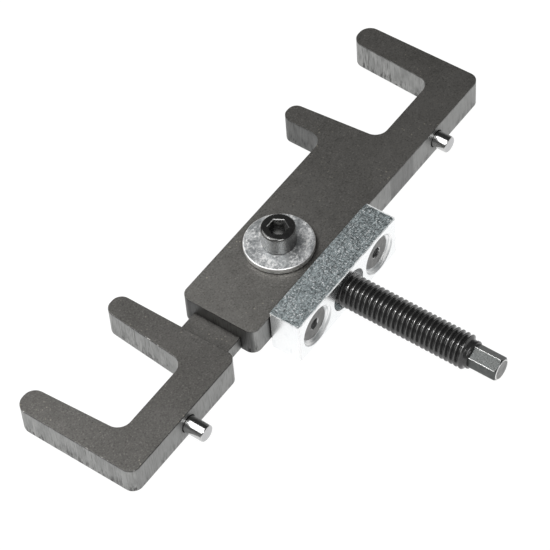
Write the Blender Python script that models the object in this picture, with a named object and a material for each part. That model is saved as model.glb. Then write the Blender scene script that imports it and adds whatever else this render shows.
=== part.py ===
"""Gear puller: a flat steel cross bar with a fixed fork at one end and a sliding fork at the other.

The sliding fork's half-thickness tongue runs in a channel in the underside of the bar and is
locked from above by a cap screw and a large washer. A steel block is screwed to the bar's back
edge. A nut in a pocket in the block carries the threaded spindle and can shift sideways. Each
fork has a dowel pin standing out of its back edge.

Frame: origin at the centre of the block's underside, +X along the bar towards the fixed fork,
+Y towards the finger tips, +Z up through the bar's thickness. "Back" is the -Y side. The spindle
points along -Y. Lengths are in millimetres and become metres when a mesh is made.
"""

import math

import bmesh
import bpy
from mathutils import Matrix, Vector

MM = 0.001
GAP = 0.2                 # clearance between separate pieces

# block, its screws and the nut pocket
BLOCK_L, BLOCK_D, BLOCK_H = 75.0, 16.0, 23.3
BLOCK_FRONT = BLOCK_D / 2
BLOCK_BACK = -BLOCK_FRONT
BLOCK_BEVEL = 0.7
AXIS_Z = 11.5             # height of the spindle and of the block's screws
CSK_X = 24.0
CSK_HEAD_D, CSK_SHANK_D, CSK_HOLE_D = 16.2, 8.0, 9.0
CSK_SUNK = 1.7            # head sits this far inside the block's back face
CSK_RIM = 0.4             # straight rim of the countersunk head
CSK_LEN = 20.0
CSK_END_CHAMFER = 0.8
CSK_SOCKET_AF, CSK_SOCKET_DEPTH = 5.0, 3.2
CSK_SOCKET_TURN = 0.2     # radians
WINDOW_L, WINDOW_H = 22.4, 17.6
WEB_T = 5.5               # block wall behind the nut
POCKET_L, POCKET_H, POCKET_R = 31.0, 20.0, 3.0
NUT_L, NUT_H, NUT_T, NUT_R = 24.0, 19.6, 9.9, 2.6
NUT_CHAMFER = 0.4
NUT_BACK = BLOCK_BACK + WEB_T + GAP
NUT_FRONT = NUT_BACK + NUT_T

# main bar and fixed fork
PLATE_T = 15.0            # thickness of bar and forks
BAR_BOTTOM = 5.2
BAR_TOP = BAR_BOTTOM + PLATE_T
PLATE_MID = BAR_BOTTOM + PLATE_T / 2
BAR_BACK = BLOCK_FRONT + GAP
BAR_W = 40.0
BAR_FRONT = BAR_BACK + BAR_W
BAR_END = -48.9           # free end, where the tongue comes out
BAR_OUTER = 132.3         # outer side of the fixed fork
FINGER_TIP = 72.5
FIXED_SEAT = 26.4         # bottom of the fixed fork's opening
EDGE_CHAMFER = 0.6
TAP_DEPTH = 6.2           # blind screw holes in the bar's back edge, clear of the channel

# sliding fork
SLIDE_BACK = 7.4
SLIDE_OUTER = -136.0
SLIDE_SHOULDER = -62.2
SLIDE_TIP = 71.7
SLIDE_SEAT = 24.9
SLIDE_TRAVEL = 10.0       # each way from the rest position
TONGUE_Y0, TONGUE_Y1 = 15.9, 41.1
TONGUE_T = PLATE_T / 2
TONGUE_END = 7.5
TONGUE_R = 4.0
TONGUE_ROOT = 8.0         # length of tongue buried in the fork
TONGUE_LIFT = 0.001       # keeps the undersides of fork and tongue from coinciding
TONGUE_CHAMFER = 0.4
RUN_GAP = 0.2             # gap between tongue and channel
CHANNEL_END = TONGUE_END + SLIDE_TRAVEL + 0.8
CHANNEL_R = 5.0

# clamp screw M10 and washer
CLAMP_X, CLAMP_Y = -2.0, 27.9
CLAMP_D = 10.0
CLAMP_LEN = 16.0
CLAMP_HEAD_D, CLAMP_HEAD_H = 16.0, 10.0
CLAMP_SOCKET_AF, CLAMP_SOCKET_DEPTH = 8.0, 5.0
CLAMP_END_CHAMFER = 1.0
CLAMP_HEAD_LOW_CHAMFER, CLAMP_HEAD_TOP_CHAMFER = 0.4, 0.9
WASHER_D, WASHER_HOLE, WASHER_T = 32.6, 11.0, 3.0
WASHER_CHAMFER = 0.4
WASHER_Z = BAR_TOP + GAP
CLAMP_HEAD_Z = WASHER_Z + WASHER_T + GAP
SLOT_W = 11.0
SLOT_L = SLOT_W + 2 * SLIDE_TRAVEL + 0.6

# dowel pins
PIN_D = 8.0
PIN_FIT = 0.2
PIN_DEPTH = 12.0
PIN_END_GAP = 0.5
PIN_CHAMFER = 0.7
PIN_SEGS = 24
FIXED_PIN_X, FIXED_PIN_OUT = 94.9, 7.5
SLIDE_PIN_X, SLIDE_PIN_OUT = -98.0, 10.0

# spindle
SPINDLE_D = 16.0
PITCH = 2.5
THREAD_DEPTH = 1.45
SPINDLE_IN = 5.0          # inner end, in Y
THREAD_OUT = -72.2        # end of the thread, in Y
HEX_START = -74.0
SPINDLE_OUT = -88.1       # drive end, in Y
HEX_AF = 10.0
HEX_TURN = 25.0           # rotation about the spindle's axis, degrees
SPINDLE_SEGS = 18
INNER_CHAMFER = 0.6
HEX_CHAMFER_L, HEX_CHAMFER_R = 0.8, 0.3
NECK_STEP = 0.1           # the shaft narrows by this much, in radius, from thread to hexagon
BORE_END_GAP = 0.6
THREAD_START = 0.9        # distance from the inner end
FADE_IN = (0.2, 0.4)      # turns: flat stretch at the start, then length of the rise
FADE_OUT = (0.1, 0.3)     # turns: flat stretch at the end, and length of the fall before it

# swivelling pressure tip
TIP_D, TIP_T, TIP_STEM_D, TIP_STEM_L = 12.4, 2.4, 5.0, 5.0
TIP_CHAMFER = 0.4

# reach of hole cutters
EDGE_HOLE_CUT = 30.0      # length of the hole cutters in the back edges
CLAMP_HOLE_CUT = 20.0
PLATE_OVERCUT = 5.0       # past the plate's faces
CHANNEL_OVERCUT = 10.0    # past the bar's free end

# Outlines: each row is a corner (x, y, radius).
BAR_OUTLINE = [
    (BAR_END, BAR_BACK, 4.5), (BAR_OUTER, BAR_BACK, 5.0),
    (BAR_OUTER - 0.2, FINGER_TIP, 6.0), (BAR_OUTER - 12.7, FINGER_TIP, 5.6),
    (117.2, FIXED_SEAT, 6.5), (75.5, FIXED_SEAT, 6.5),
    (71.5, FINGER_TIP, 4.6), (61.5, FINGER_TIP, 4.6),
    (61.5, BAR_FRONT, 7.0), (BAR_END, BAR_FRONT, 4.5),
]
SLIDE_OUTLINE = [
    (SLIDE_OUTER, SLIDE_BACK, 5.0), (SLIDE_SHOULDER, SLIDE_BACK, 4.5),
    (SLIDE_SHOULDER - 0.4, SLIDE_TIP, 5.0), (-73.5, SLIDE_TIP, 5.0),
    (-77.4, SLIDE_SEAT, 6.5), (-120.8, SLIDE_SEAT, 6.5),
    (-123.6, SLIDE_TIP, 5.6), (SLIDE_OUTER - 0.1, SLIDE_TIP, 6.0),
]

MATERIALS = {
    "blued_plate": dict(colour=(0.115, 0.11, 0.103), roughness=0.5, metallic=0.85),
    "black_screw": dict(colour=(0.02, 0.02, 0.022), roughness=0.35, metallic=0.8),
    "zinc_plated": dict(colour=(0.66, 0.68, 0.70), roughness=0.35, metallic=0.95),
    "ground_pin": dict(colour=(0.75, 0.75, 0.76), roughness=0.18, metallic=1.0),
}


# ---- scene, materials and objects ----

def clear_scene():
    for ob in list(bpy.data.objects):
        bpy.data.objects.remove(ob, do_unlink=True)


def material(name):
    look = MATERIALS[name]
    mat = bpy.data.materials.get(name) or bpy.data.materials.new(name)
    mat.use_nodes = True
    shader = mat.node_tree.nodes["Principled BSDF"]
    shader.inputs["Base Color"].default_value = (*look["colour"], 1.0)
    shader.inputs["Roughness"].default_value = look["roughness"]
    shader.inputs["Metallic"].default_value = look["metallic"]
    return mat


def finish(bm, name, mat_name=None, origin=(0, 0, 0)):
    """Turn a bmesh in millimetres into an object in metres, with its origin at a given point."""
    bmesh.ops.remove_doubles(bm, verts=bm.verts, dist=1e-5)
    bmesh.ops.recalc_face_normals(bm, faces=bm.faces)
    origin = Vector(origin)
    for vert in bm.verts:
        vert.co = (vert.co - origin) * MM
    mesh = bpy.data.meshes.new(name)
    bm.to_mesh(mesh)
    bm.free()
    mesh.shade_smooth()
    mesh.set_sharp_from_angle(angle=math.radians(30.0))
    ob = bpy.data.objects.new(name, mesh)
    bpy.context.scene.collection.objects.link(ob)
    ob.location = origin * MM
    if mat_name:
        mesh.materials.append(material(mat_name))
    return ob


def combine(ob, bm, helper_name, operation="DIFFERENCE", modifier_name=None):
    """Make a hidden helper from a bmesh and apply it to an object as a boolean modifier."""
    helper = finish(bm, helper_name)
    helper.hide_render = True
    helper.display_type = "WIRE"
    boolean = ob.modifiers.new(modifier_name or helper_name, "BOOLEAN")
    boolean.operation = operation
    boolean.solver = "EXACT"
    boolean.object = helper


# ---- outlines ----

def fillet(corners, per_90=6):
    """Outline from corners (x, y, radius); a radius of 0 leaves the corner sharp."""
    points = []
    for i, (x, y, radius) in enumerate(corners):
        corner = Vector((x, y))
        if not radius:
            points.append(corner)
            continue
        to_last = (Vector(corners[i - 1][:2]) - corner).normalized()
        to_next = (Vector(corners[(i + 1) % len(corners)][:2]) - corner).normalized()
        half = to_last.angle(to_next) / 2
        setback = radius / math.tan(half)
        centre = corner + (to_last + to_next).normalized() * (radius / math.sin(half))
        start = corner + to_last * setback - centre
        end = corner + to_next * setback - centre
        start_angle = math.atan2(start.y, start.x)
        end_angle = math.atan2(end.y, end.x)
        sweep = (end_angle - start_angle + math.pi) % (2 * math.pi) - math.pi
        steps = max(2, round(abs(sweep) / (math.pi / 2) * per_90))
        for j in range(steps + 1):
            angle = start_angle + sweep * j / steps
            points.append(centre + Vector((math.cos(angle), math.sin(angle))) * radius)
    return points


def rectangle(x0, x1, y0, y1, radius=0):
    corners = [(x0, y0, radius), (x1, y0, radius), (x1, y1, radius), (x0, y1, radius)]
    return fillet(corners, per_90=4)


def hexagon(across_flats, turn):
    radius = across_flats / math.sqrt(3)
    angles = [turn + math.pi / 3 * i for i in range(6)]
    return [Vector((radius * math.cos(angle), radius * math.sin(angle))) for angle in angles]


def obround(length, height, segs):
    """Slot outline with half-round ends of the given segment count."""
    radius = height / 2
    centre_x = length / 2 - radius
    points = []
    for x, start_angle in ((centre_x, -math.pi / 2), (-centre_x, math.pi / 2)):
        for i in range(segs + 1):
            angle = start_angle + math.pi * i / segs
            points.append(Vector((x + radius * math.cos(angle), radius * math.sin(angle))))
    return points


# ---- solids, built along +Z ----

def prism(outline, z0, z1, chamfer=0.0):
    """Straight prism over an XY outline, with chamfered rims."""
    bm = bmesh.new()
    base = bm.faces.new([bm.verts.new((p.x, p.y, z0)) for p in outline])
    extruded = bmesh.ops.extrude_face_region(bm, geom=[base])
    for item in extruded["geom"]:
        if isinstance(item, bmesh.types.BMVert):
            item.co.z = z1
    bmesh.ops.recalc_face_normals(bm, faces=bm.faces)
    if chamfer:
        rims = [e for e in bm.edges if abs(e.verts[0].co.z - e.verts[1].co.z) < 1e-6]
        bmesh.ops.bevel(bm, geom=rims, offset=chamfer, offset_type="OFFSET", segments=1,
                        profile=0.5, affect="EDGES", clamp_overlap=True)
    return bm


def turned(profile, segs):
    """Solid of revolution from (radius, z) rings; a radius of 0 closes an end in a point."""
    bm = bmesh.new()
    rings = []
    for radius, z in profile:
        if radius == 0:
            rings.append([bm.verts.new((0, 0, z))])
            continue
        angles = [2 * math.pi * i / segs for i in range(segs)]
        rings.append([bm.verts.new((radius * math.cos(angle), radius * math.sin(angle), z))
                      for angle in angles])
    for low, high in zip(rings, rings[1:] + rings[:1]):
        if len(low) == 1 and len(high) == 1:
            continue
        for i in range(segs):
            j = (i + 1) % segs
            if len(low) == 1:
                bm.faces.new((low[0], high[i], high[j]))
            elif len(high) == 1:
                bm.faces.new((low[i], high[0], low[j]))
            else:
                bm.faces.new((low[i], high[i], high[j], low[j]))
    bmesh.ops.recalc_face_normals(bm, faces=bm.faces)
    return bm


def rod(radius, z0, z1, segs):
    return turned([(0, z0), (radius, z0), (radius, z1), (0, z1)], segs)


def moved(bm, x, y, z):
    bm.transform(Matrix.Translation((x, y, z)))
    return bm


def along_y(bm, x, y, z):
    """Stand a shape on a point, with its +Z turned to -Y."""
    bm.transform(Matrix.Translation((x, y, z)) @ Matrix.Rotation(math.pi / 2, 4, "X"))
    return bm


# ---- bar and forks ----

def pin_hole(x, back):
    hole = rod(PIN_D / 2 + PIN_FIT, 0, EDGE_HOLE_CUT, PIN_SEGS)
    return along_y(hole, x, back + PIN_DEPTH + PIN_END_GAP, PLATE_MID)


def build_main_bar():
    """Main bar in one piece with its fixed fork."""
    bar = finish(prism(fillet(BAR_OUTLINE), BAR_BOTTOM, BAR_TOP, EDGE_CHAMFER),
                 "main_bar", "blued_plate")
    channel_x0 = BAR_END - CHANNEL_OVERCUT
    channel_y0, channel_y1 = TONGUE_Y0 - RUN_GAP, TONGUE_Y1 + RUN_GAP
    channel = fillet([
        (channel_x0, channel_y0, 0), (CHANNEL_END, channel_y0, CHANNEL_R),
        (CHANNEL_END, channel_y1, CHANNEL_R), (channel_x0, channel_y1, 0),
    ])
    combine(bar, prism(channel, BAR_BOTTOM - PLATE_OVERCUT, BAR_BOTTOM + TONGUE_T + RUN_GAP),
            "cut_channel")
    # the slot's cutter starts inside the channel
    slot = prism(obround(SLOT_L, SLOT_W, segs=10), BAR_BOTTOM + 2, BAR_TOP + PLATE_OVERCUT)
    combine(bar, moved(slot, CLAMP_X, CLAMP_Y, 0), "cut_clamp_slot")
    combine(bar, pin_hole(FIXED_PIN_X, BAR_BACK), "cut_fixed_pin")
    for side, x in (("left", -CSK_X), ("right", CSK_X)):
        hole = rod(CSK_SHANK_D / 2 + GAP, 0, EDGE_HOLE_CUT, 20)
        combine(bar, along_y(hole, x, BAR_BACK + TAP_DEPTH, AXIS_Z), "cut_screw_" + side)


def build_sliding_fork():
    """Full-thickness fork and half-thickness tongue in one piece."""
    fork = finish(prism(fillet(SLIDE_OUTLINE), BAR_BOTTOM, BAR_TOP, EDGE_CHAMFER),
                  "sliding_fork_arm", "blued_plate")
    root_x = SLIDE_SHOULDER - TONGUE_ROOT
    tongue = fillet([
        (root_x, TONGUE_Y0, 0), (TONGUE_END, TONGUE_Y0, TONGUE_R),
        (TONGUE_END, TONGUE_Y1, TONGUE_R), (root_x, TONGUE_Y1, 0),
    ])
    combine(fork, prism(tongue, BAR_BOTTOM + TONGUE_LIFT, BAR_BOTTOM + TONGUE_T, TONGUE_CHAMFER),
            "add_tongue", "UNION", "tongue")
    combine(fork, pin_hole(SLIDE_PIN_X, SLIDE_BACK), "cut_slide_pin")
    hole = rod(CLAMP_D / 2 + GAP, 0, CLAMP_HOLE_CUT, 28)
    combine(fork, moved(hole, CLAMP_X, CLAMP_Y, BAR_BOTTOM - PLATE_OVERCUT), "cut_clamp_hole")


def build_dowel(name, x, back, out):
    """Dowel pin chamfered at both ends, standing out of a back edge."""
    radius = PIN_D / 2
    length = PIN_DEPTH + out
    bm = turned([
        (0, 0), (radius - PIN_CHAMFER, 0), (radius, PIN_CHAMFER),
        (radius, length - PIN_CHAMFER), (radius - PIN_CHAMFER, length), (0, length),
    ], PIN_SEGS)
    finish(along_y(bm, x, back + PIN_DEPTH, PLATE_MID), name, "ground_pin", (x, back, PLATE_MID))


# ---- clamp ----

def build_clamp_washer():
    outer, inner, chamfer = WASHER_D / 2, WASHER_HOLE / 2, WASHER_CHAMFER
    bm = turned([
        (inner, 0), (outer - chamfer, 0), (outer, chamfer),
        (outer, WASHER_T - chamfer), (outer - chamfer, WASHER_T), (inner, WASHER_T),
    ], 48)
    place = (CLAMP_X, CLAMP_Y, WASHER_Z)
    finish(moved(bm, *place), "clamp_washer", "zinc_plated", place)


def build_clamp_screw():
    """Socket cap screw, its origin under the head."""
    head, shank = CLAMP_HEAD_D / 2, CLAMP_D / 2
    bm = turned([
        (0, -CLAMP_LEN), (shank - CLAMP_END_CHAMFER, -CLAMP_LEN),
        (shank, -CLAMP_LEN + CLAMP_END_CHAMFER), (shank, 0),
        (head - CLAMP_HEAD_LOW_CHAMFER, 0), (head, CLAMP_HEAD_LOW_CHAMFER),
        (head, CLAMP_HEAD_H - CLAMP_HEAD_TOP_CHAMFER),
        (head - CLAMP_HEAD_TOP_CHAMFER, CLAMP_HEAD_H), (0, CLAMP_HEAD_H),
    ], 32)
    place = (CLAMP_X, CLAMP_Y, CLAMP_HEAD_Z)
    screw = finish(moved(bm, *place), "clamp_screw", "black_screw", place)
    socket = prism(hexagon(CLAMP_SOCKET_AF, 0.0),
                   CLAMP_HEAD_H - CLAMP_SOCKET_DEPTH, CLAMP_HEAD_H + 4)
    combine(screw, moved(socket, *place), "cut_clamp_socket")


# ---- block, its screws and nut ----

def build_block():
    """Block with nut pocket open to the front, spindle window and two countersunk holes."""
    outline = rectangle(-BLOCK_L / 2, BLOCK_L / 2, BLOCK_BACK, BLOCK_FRONT)
    block = finish(prism(outline, 0, BLOCK_H), "spindle_block", "zinc_plated")
    bevel = block.modifiers.new("edges", "BEVEL")
    bevel.width = BLOCK_BEVEL * MM
    bevel.segments = 1
    bevel.limit_method = "ANGLE"

    pocket_outline = rectangle(-POCKET_L / 2, POCKET_L / 2, -POCKET_H / 2, POCKET_H / 2, POCKET_R)
    pocket = prism(pocket_outline, -6.0, BLOCK_D - WEB_T)
    window = prism(obround(WINDOW_L, WINDOW_H, segs=12), -2, BLOCK_D + 4)
    combine(block, along_y(pocket, 0, BLOCK_FRONT, AXIS_Z), "cut_pocket")
    combine(block, along_y(window, 0, BLOCK_FRONT, AXIS_Z), "cut_window")

    # the 45 degree sink is wide enough at the back face for the sunk head
    hole = CSK_HOLE_D / 2
    mouth = CSK_HEAD_D / 2 + GAP + CSK_SUNK + CSK_RIM
    for side, x in (("left", -CSK_X), ("right", CSK_X)):
        sink = turned([
            (0, -4), (hole, -4), (hole, BLOCK_D - (mouth - hole)), (mouth, BLOCK_D),
            (mouth, BLOCK_D + 3), (0, BLOCK_D + 3),
        ], 32)
        combine(block, along_y(sink, x, BLOCK_FRONT, AXIS_Z), "cut_sink_" + side)


def build_block_screw(name, x):
    """Countersunk socket screw, its origin on the head's face."""
    head, shank = CSK_HEAD_D / 2, CSK_SHANK_D / 2
    head_height = head - shank + CSK_RIM
    bm = turned([
        (0, -CSK_LEN), (shank - CSK_END_CHAMFER, -CSK_LEN),
        (shank, -CSK_LEN + CSK_END_CHAMFER), (shank, -head_height),
        (head, -CSK_RIM), (head, 0), (0, 0),
    ], 32)
    place = (x, BLOCK_BACK + CSK_SUNK, AXIS_Z)
    screw = finish(along_y(bm, *place), name, "black_screw", place)
    socket = prism(hexagon(CSK_SOCKET_AF, CSK_SOCKET_TURN), -CSK_SOCKET_DEPTH, 3.0)
    combine(screw, along_y(socket, *place), "cut_socket_" + name)


def build_nut():
    """Flat rectangular nut, narrower than its pocket so that it can shift sideways."""
    outline = rectangle(-NUT_L / 2, NUT_L / 2, -NUT_H / 2, NUT_H / 2, NUT_R)
    nut = finish(along_y(prism(outline, 0, NUT_T, NUT_CHAMFER), 0, NUT_FRONT, AXIS_Z),
                 "spindle_nut", "zinc_plated", (0, NUT_BACK, AXIS_Z))
    bore = rod(SPINDLE_D / 2 + GAP, -2, NUT_T + 2, 36)
    combine(nut, along_y(bore, 0, NUT_FRONT, AXIS_Z), "cut_nut_bore")


# ---- spindle ----

def spindle_mesh():
    """Bored inner end, threaded body, neck and hexagonal drive end, built along +Z.

    Every ring repeats its first vertex at the end, so that a skin closes on itself.
    """
    segs = SPINDLE_SEGS
    crest = SPINDLE_D / 2
    root = crest - THREAD_DEPTH
    turn = math.radians(HEX_TURN)
    bm = bmesh.new()

    def vertex(radius, angle, z):
        return bm.verts.new((radius * math.cos(angle), radius * math.sin(angle), z))

    def ring(radius, z):
        verts = [vertex(radius, turn + 2 * math.pi * i / segs, z) for i in range(segs)]
        return verts + verts[:1]

    def hex_ring(z):
        verts = []
        for i in range(segs):
            angle = 2 * math.pi * i / segs
            radius = HEX_AF / 2 / math.cos(angle % (math.pi / 3) - math.pi / 6)
            verts.append(vertex(radius, turn + angle, z))
        return verts + verts[:1]

    def skin(*rings):
        for a, b in zip(rings, rings[1:]):
            for i in range(segs):
                bm.faces.new((a[i], a[i + 1], b[i + 1], b[i]))

    def fan(z, rim):
        centre = bm.verts.new((0, 0, z))
        for i in range(segs):
            bm.faces.new((centre, rim[i + 1], rim[i]))

    # inner end, with the bore for the pressure tip's stem
    bore = TIP_STEM_D / 2 + GAP
    bore_depth = TIP_STEM_L + BORE_END_GAP
    bore_floor = ring(bore, bore_depth)
    fan(bore_depth, bore_floor)
    start = ring(root, INNER_CHAMFER)
    skin(bore_floor, ring(bore, 0), ring(root - INNER_CHAMFER, 0), start)

    # thread: rows of profile points wind round the shaft, each turn joined to the next;
    # the last turn has only the root point, to close the turn before it
    thread_end = SPINDLE_IN - THREAD_OUT
    turns = int((thread_end - THREAD_START - PITCH) / PITCH)
    steps = turns * segs
    profile = ((0.0, root), (0.12, root), (0.45, crest), (0.60, crest))  # (pitches, radius)
    rows = []
    for u in range(steps + segs + 1):
        rise = max(0.0, (u - FADE_IN[0] * segs) / (FADE_IN[1] * segs))
        fall = max(0.0, (steps - FADE_OUT[0] * segs - u) / (FADE_OUT[1] * segs))
        fade = min(1.0, rise, fall)
        angle = turn + 2 * math.pi * u / segs
        rows.append([vertex(root + (radius - root) * fade, angle,
                            THREAD_START + PITCH * (u / segs + offset))
                     for offset, radius in (profile if u <= steps else profile[:1])])

    def section(u):
        """One pitch of the thread: a row and the first point of the row one turn on."""
        return [*rows[u], rows[u + segs][0]]

    for u in range(steps):
        a, b = section(u), section(u + 1)
        for p in range(len(profile)):
            bm.faces.new((a[p], b[p], b[p + 1], a[p + 1]))

    # a collar at each end of the thread, and triangles that close the step beside it
    skin(start, [row[0] for row in rows[:segs + 1]])
    first = section(0)
    for a, b in zip(first, first[1:]):
        bm.faces.new((start[0], a, b))
    end = ring(root, thread_end)
    skin([row[0] for row in rows[steps:]], end)
    last = section(steps)
    for a, b in zip(last, last[1:]):
        bm.faces.new((end[0], b, a))

    # neck and hexagon
    hex_start = SPINDLE_IN - HEX_START
    length = SPINDLE_IN - SPINDLE_OUT
    drive_end = ring(HEX_AF / 2 - HEX_CHAMFER_R, length)
    skin(end, ring(root - NECK_STEP, hex_start), hex_ring(hex_start),
         hex_ring(length - HEX_CHAMFER_L), drive_end)
    fan(length, drive_end[::-1])
    return bm


def build_spindle():
    place = (0, SPINDLE_IN, AXIS_Z)
    finish(along_y(spindle_mesh(), *place), "spindle", "black_screw", place)


def build_pressure_tip():
    """Swivelling disc, its stem held in the spindle's bored inner end."""
    disc, stem = TIP_D / 2, TIP_STEM_D / 2
    length = TIP_T + GAP + TIP_STEM_L
    bm = turned([
        (0, 0), (disc - TIP_CHAMFER, 0), (disc, TIP_CHAMFER), (disc, TIP_T),
        (stem, TIP_T), (stem, length), (0, length),
    ], 24)
    finish(along_y(bm, 0, SPINDLE_IN + GAP + TIP_T, AXIS_Z),
           "spindle_pressure_tip", "ground_pin", (0, SPINDLE_IN, AXIS_Z))


clear_scene()
build_main_bar()
build_sliding_fork()
build_dowel("fixed_fork_pin", FIXED_PIN_X, BAR_BACK, FIXED_PIN_OUT)
build_dowel("sliding_fork_pin", SLIDE_PIN_X, SLIDE_BACK, SLIDE_PIN_OUT)
build_clamp_washer()
build_clamp_screw()
build_block()
build_block_screw("block_screw_left", -CSK_X)
build_block_screw("block_screw_right", CSK_X)
build_nut()
build_spindle()
build_pressure_tip()
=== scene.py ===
"""Looks of a gear puller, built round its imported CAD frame.

The plates lie flat, square to Z. The bar runs along X, with the fixed fork at its +X end and the
sliding fork at its -X end, and both forks reach towards +Y. The spindle lies along Y at x = 0,
with its pressure tip at the +Y end and its hexagon at the -Y end. The spindle block sits on the
bar's -Y side. Lengths are in millimetres until a mesh is made.
"""

import math
from collections import namedtuple

import bmesh
import bpy
from mathutils import Matrix, Vector


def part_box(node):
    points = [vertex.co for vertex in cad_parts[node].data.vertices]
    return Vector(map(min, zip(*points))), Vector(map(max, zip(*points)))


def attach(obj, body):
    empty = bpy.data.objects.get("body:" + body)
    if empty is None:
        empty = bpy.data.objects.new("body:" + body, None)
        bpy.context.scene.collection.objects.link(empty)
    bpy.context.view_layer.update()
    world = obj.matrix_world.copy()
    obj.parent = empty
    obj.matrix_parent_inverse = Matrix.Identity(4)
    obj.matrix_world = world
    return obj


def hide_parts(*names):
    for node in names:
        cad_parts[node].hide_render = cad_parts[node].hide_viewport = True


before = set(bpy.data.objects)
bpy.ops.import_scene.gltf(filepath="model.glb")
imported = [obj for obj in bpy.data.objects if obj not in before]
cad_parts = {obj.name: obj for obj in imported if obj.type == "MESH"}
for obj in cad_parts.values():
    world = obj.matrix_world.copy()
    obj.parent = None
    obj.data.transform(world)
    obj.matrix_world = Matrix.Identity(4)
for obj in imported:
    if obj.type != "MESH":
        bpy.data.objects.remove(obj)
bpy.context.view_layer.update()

MM = 0.001
Axes = namedtuple("Axes", "x y z")


def mm(*lengths):
    return tuple(length * MM for length in lengths)


# ---------------------------------------------------------------- the CAD pieces

class Box:
    """Bounds of a CAD piece: corners, middle and size."""

    def __init__(self, node):
        self.lo, self.hi = (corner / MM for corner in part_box(node))
        self.mid = Axes(*((a + b) / 2 for a, b in zip(self.lo, self.hi)))
        self.size = Axes(*(b - a for a, b in zip(self.lo, self.hi)))


BAR = Box("main_bar")
ARM = Box("sliding_fork_arm")
BLOCK = Box("spindle_block")
WASHER = Box("clamp_washer")
CAP = Box("clamp_screw")
SPINDLE = Box("spindle")
NUT = Box("spindle_nut")
TIP = Box("spindle_pressure_tip")
FIXED_PIN = Box("fixed_fork_pin")
SLIDING_PIN = Box("sliding_fork_pin")
SCREW_LEFT = Box("block_screw_left")
SCREW_RIGHT = Box("block_screw_right")

PLATE_Z0, PLATE_Z1 = BAR.lo.z, BAR.hi.z
CLAMP = Vector((WASHER.mid.x, WASHER.mid.y))    # axis of the clamp screw
AXIS_Z = NUT.mid.z                              # height of the spindle's axis

CAP_HEAD_Z = WASHER.hi.z + 0.2                  # underside of the cap screw's head
CAP_HEAD_HEIGHT = CAP.hi.z - CAP_HEAD_Z
CAP_SOCKET_DEPTH = 5.0

HEX_START = -74.0                               # y where the spindle's hexagon begins
HEX_ACROSS_FLATS = 10.0
HEX_TURN = math.radians(25.0)


# ---------------------------------------------------------------- outlines

FILLET_CHORD = 0.45


def fillet(corners):
    """Outline through corners (x, y, radius), each turned into an arc of short chords."""
    points = []
    for i, (x, y, radius) in enumerate(corners):
        corner = Vector((x, y))
        if not radius:
            points.append(corner)
            continue
        before = (Vector(corners[i - 1][:2]) - corner).normalized()
        after = (Vector(corners[(i + 1) % len(corners)][:2]) - corner).normalized()
        half = before.angle(after) / 2
        centre = corner + (before + after).normalized() * (radius / math.sin(half))
        reach = radius / math.tan(half)
        start = corner + before * reach
        end = corner + after * reach
        angle = math.atan2(start.y - centre.y, start.x - centre.x)
        end_angle = math.atan2(end.y - centre.y, end.x - centre.x)
        turn = (end_angle - angle + math.pi) % (2 * math.pi) - math.pi
        chords = max(6, math.ceil(abs(turn) * radius / FILLET_CHORD))
        for j in range(chords + 1):
            t = angle + turn * j / chords
            points.append(centre + Vector((math.cos(t), math.sin(t))) * radius)
    return points


def rect(x0, x1, y0, y1, radius):
    return fillet([(x0, y0, radius), (x1, y0, radius), (x1, y1, radius), (x0, y1, radius)])


def hexagon(across_flats, phase=0.0):
    radius = across_flats / math.sqrt(3)
    angles = [phase + math.pi / 3 * i for i in range(6)]
    return [Vector((radius * math.cos(a), radius * math.sin(a))) for a in angles]


def obround(length, height, segments=28):
    radius = height / 2
    offset = length / 2 - radius
    points = []
    for x, start in ((offset, -math.pi / 2), (-offset, math.pi / 2)):
        for i in range(segments + 1):
            t = start + math.pi * i / segments
            points.append(Vector((x + radius * math.cos(t), radius * math.sin(t))))
    return points


def arc(radius, z, bend, start, end, steps):
    """Arc in a turned profile about (radius, z); degrees, 0 pointing outwards and 90 up."""
    angles = [math.radians(start + (end - start) * i / steps) for i in range(steps + 1)]
    return [(radius + bend * math.cos(a), z + bend * math.sin(a)) for a in angles]


def grooves(z, stop, pitch, crest, root, rises):
    """Ring grooves up a turned profile; rises are the heights of a groove's four points."""
    points = []
    while z < stop:
        points += [(r, z + rise) for r, rise in zip((crest, root, root, crest), rises)]
        z += pitch
    return points


# ---------------------------------------------------------------- solids

def prism(outline, z0, z1, top=None):
    """Straight solid over an outline, or tapered to a second outline with as many corners."""
    bm = bmesh.new()
    low = [bm.verts.new((p.x, p.y, z0)) for p in outline]
    high = [bm.verts.new((p.x, p.y, z1)) for p in top or outline]
    bm.faces.new(list(reversed(low)))
    bm.faces.new(high)
    for i in range(len(low)):
        j = (i + 1) % len(low)
        bm.faces.new((low[i], low[j], high[j], high[i]))
    bmesh.ops.recalc_face_normals(bm, faces=bm.faces)
    return bm


def ring(bm, radius, z, segments, phase=0.0):
    angles = [phase + 2 * math.pi * i / segments for i in range(segments)]
    return [bm.verts.new((radius * math.cos(a), radius * math.sin(a), z)) for a in angles]


def turned(profile, segments=96):
    """Solid of revolution about +Z from (radius, z) rings; a radius of 0 closes an end."""
    bm = bmesh.new()
    rings = [ring(bm, r, z, segments) if r > 0 else [bm.verts.new((0, 0, z))] for r, z in profile]
    pairs = list(zip(rings, rings[1:]))
    if profile[0][0] > 0 and profile[-1][0] > 0:
        pairs.append((rings[-1], rings[0]))
    for a, b in pairs:
        for i in range(segments):
            j = (i + 1) % segments
            if len(a) == 1:
                bm.faces.new((a[0], b[i], b[j]))
            elif len(b) == 1:
                bm.faces.new((a[i], b[0], a[j]))
            else:
                bm.faces.new((a[i], b[i], b[j], a[j]))
    bmesh.ops.recalc_face_normals(bm, faces=bm.faces)
    return bm


def at_clamp(bm, z=0.0):
    """Moves a shape onto the clamp screw's axis."""
    bm.transform(Matrix.Translation((CLAMP.x, CLAMP.y, z)))
    return bm


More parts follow.
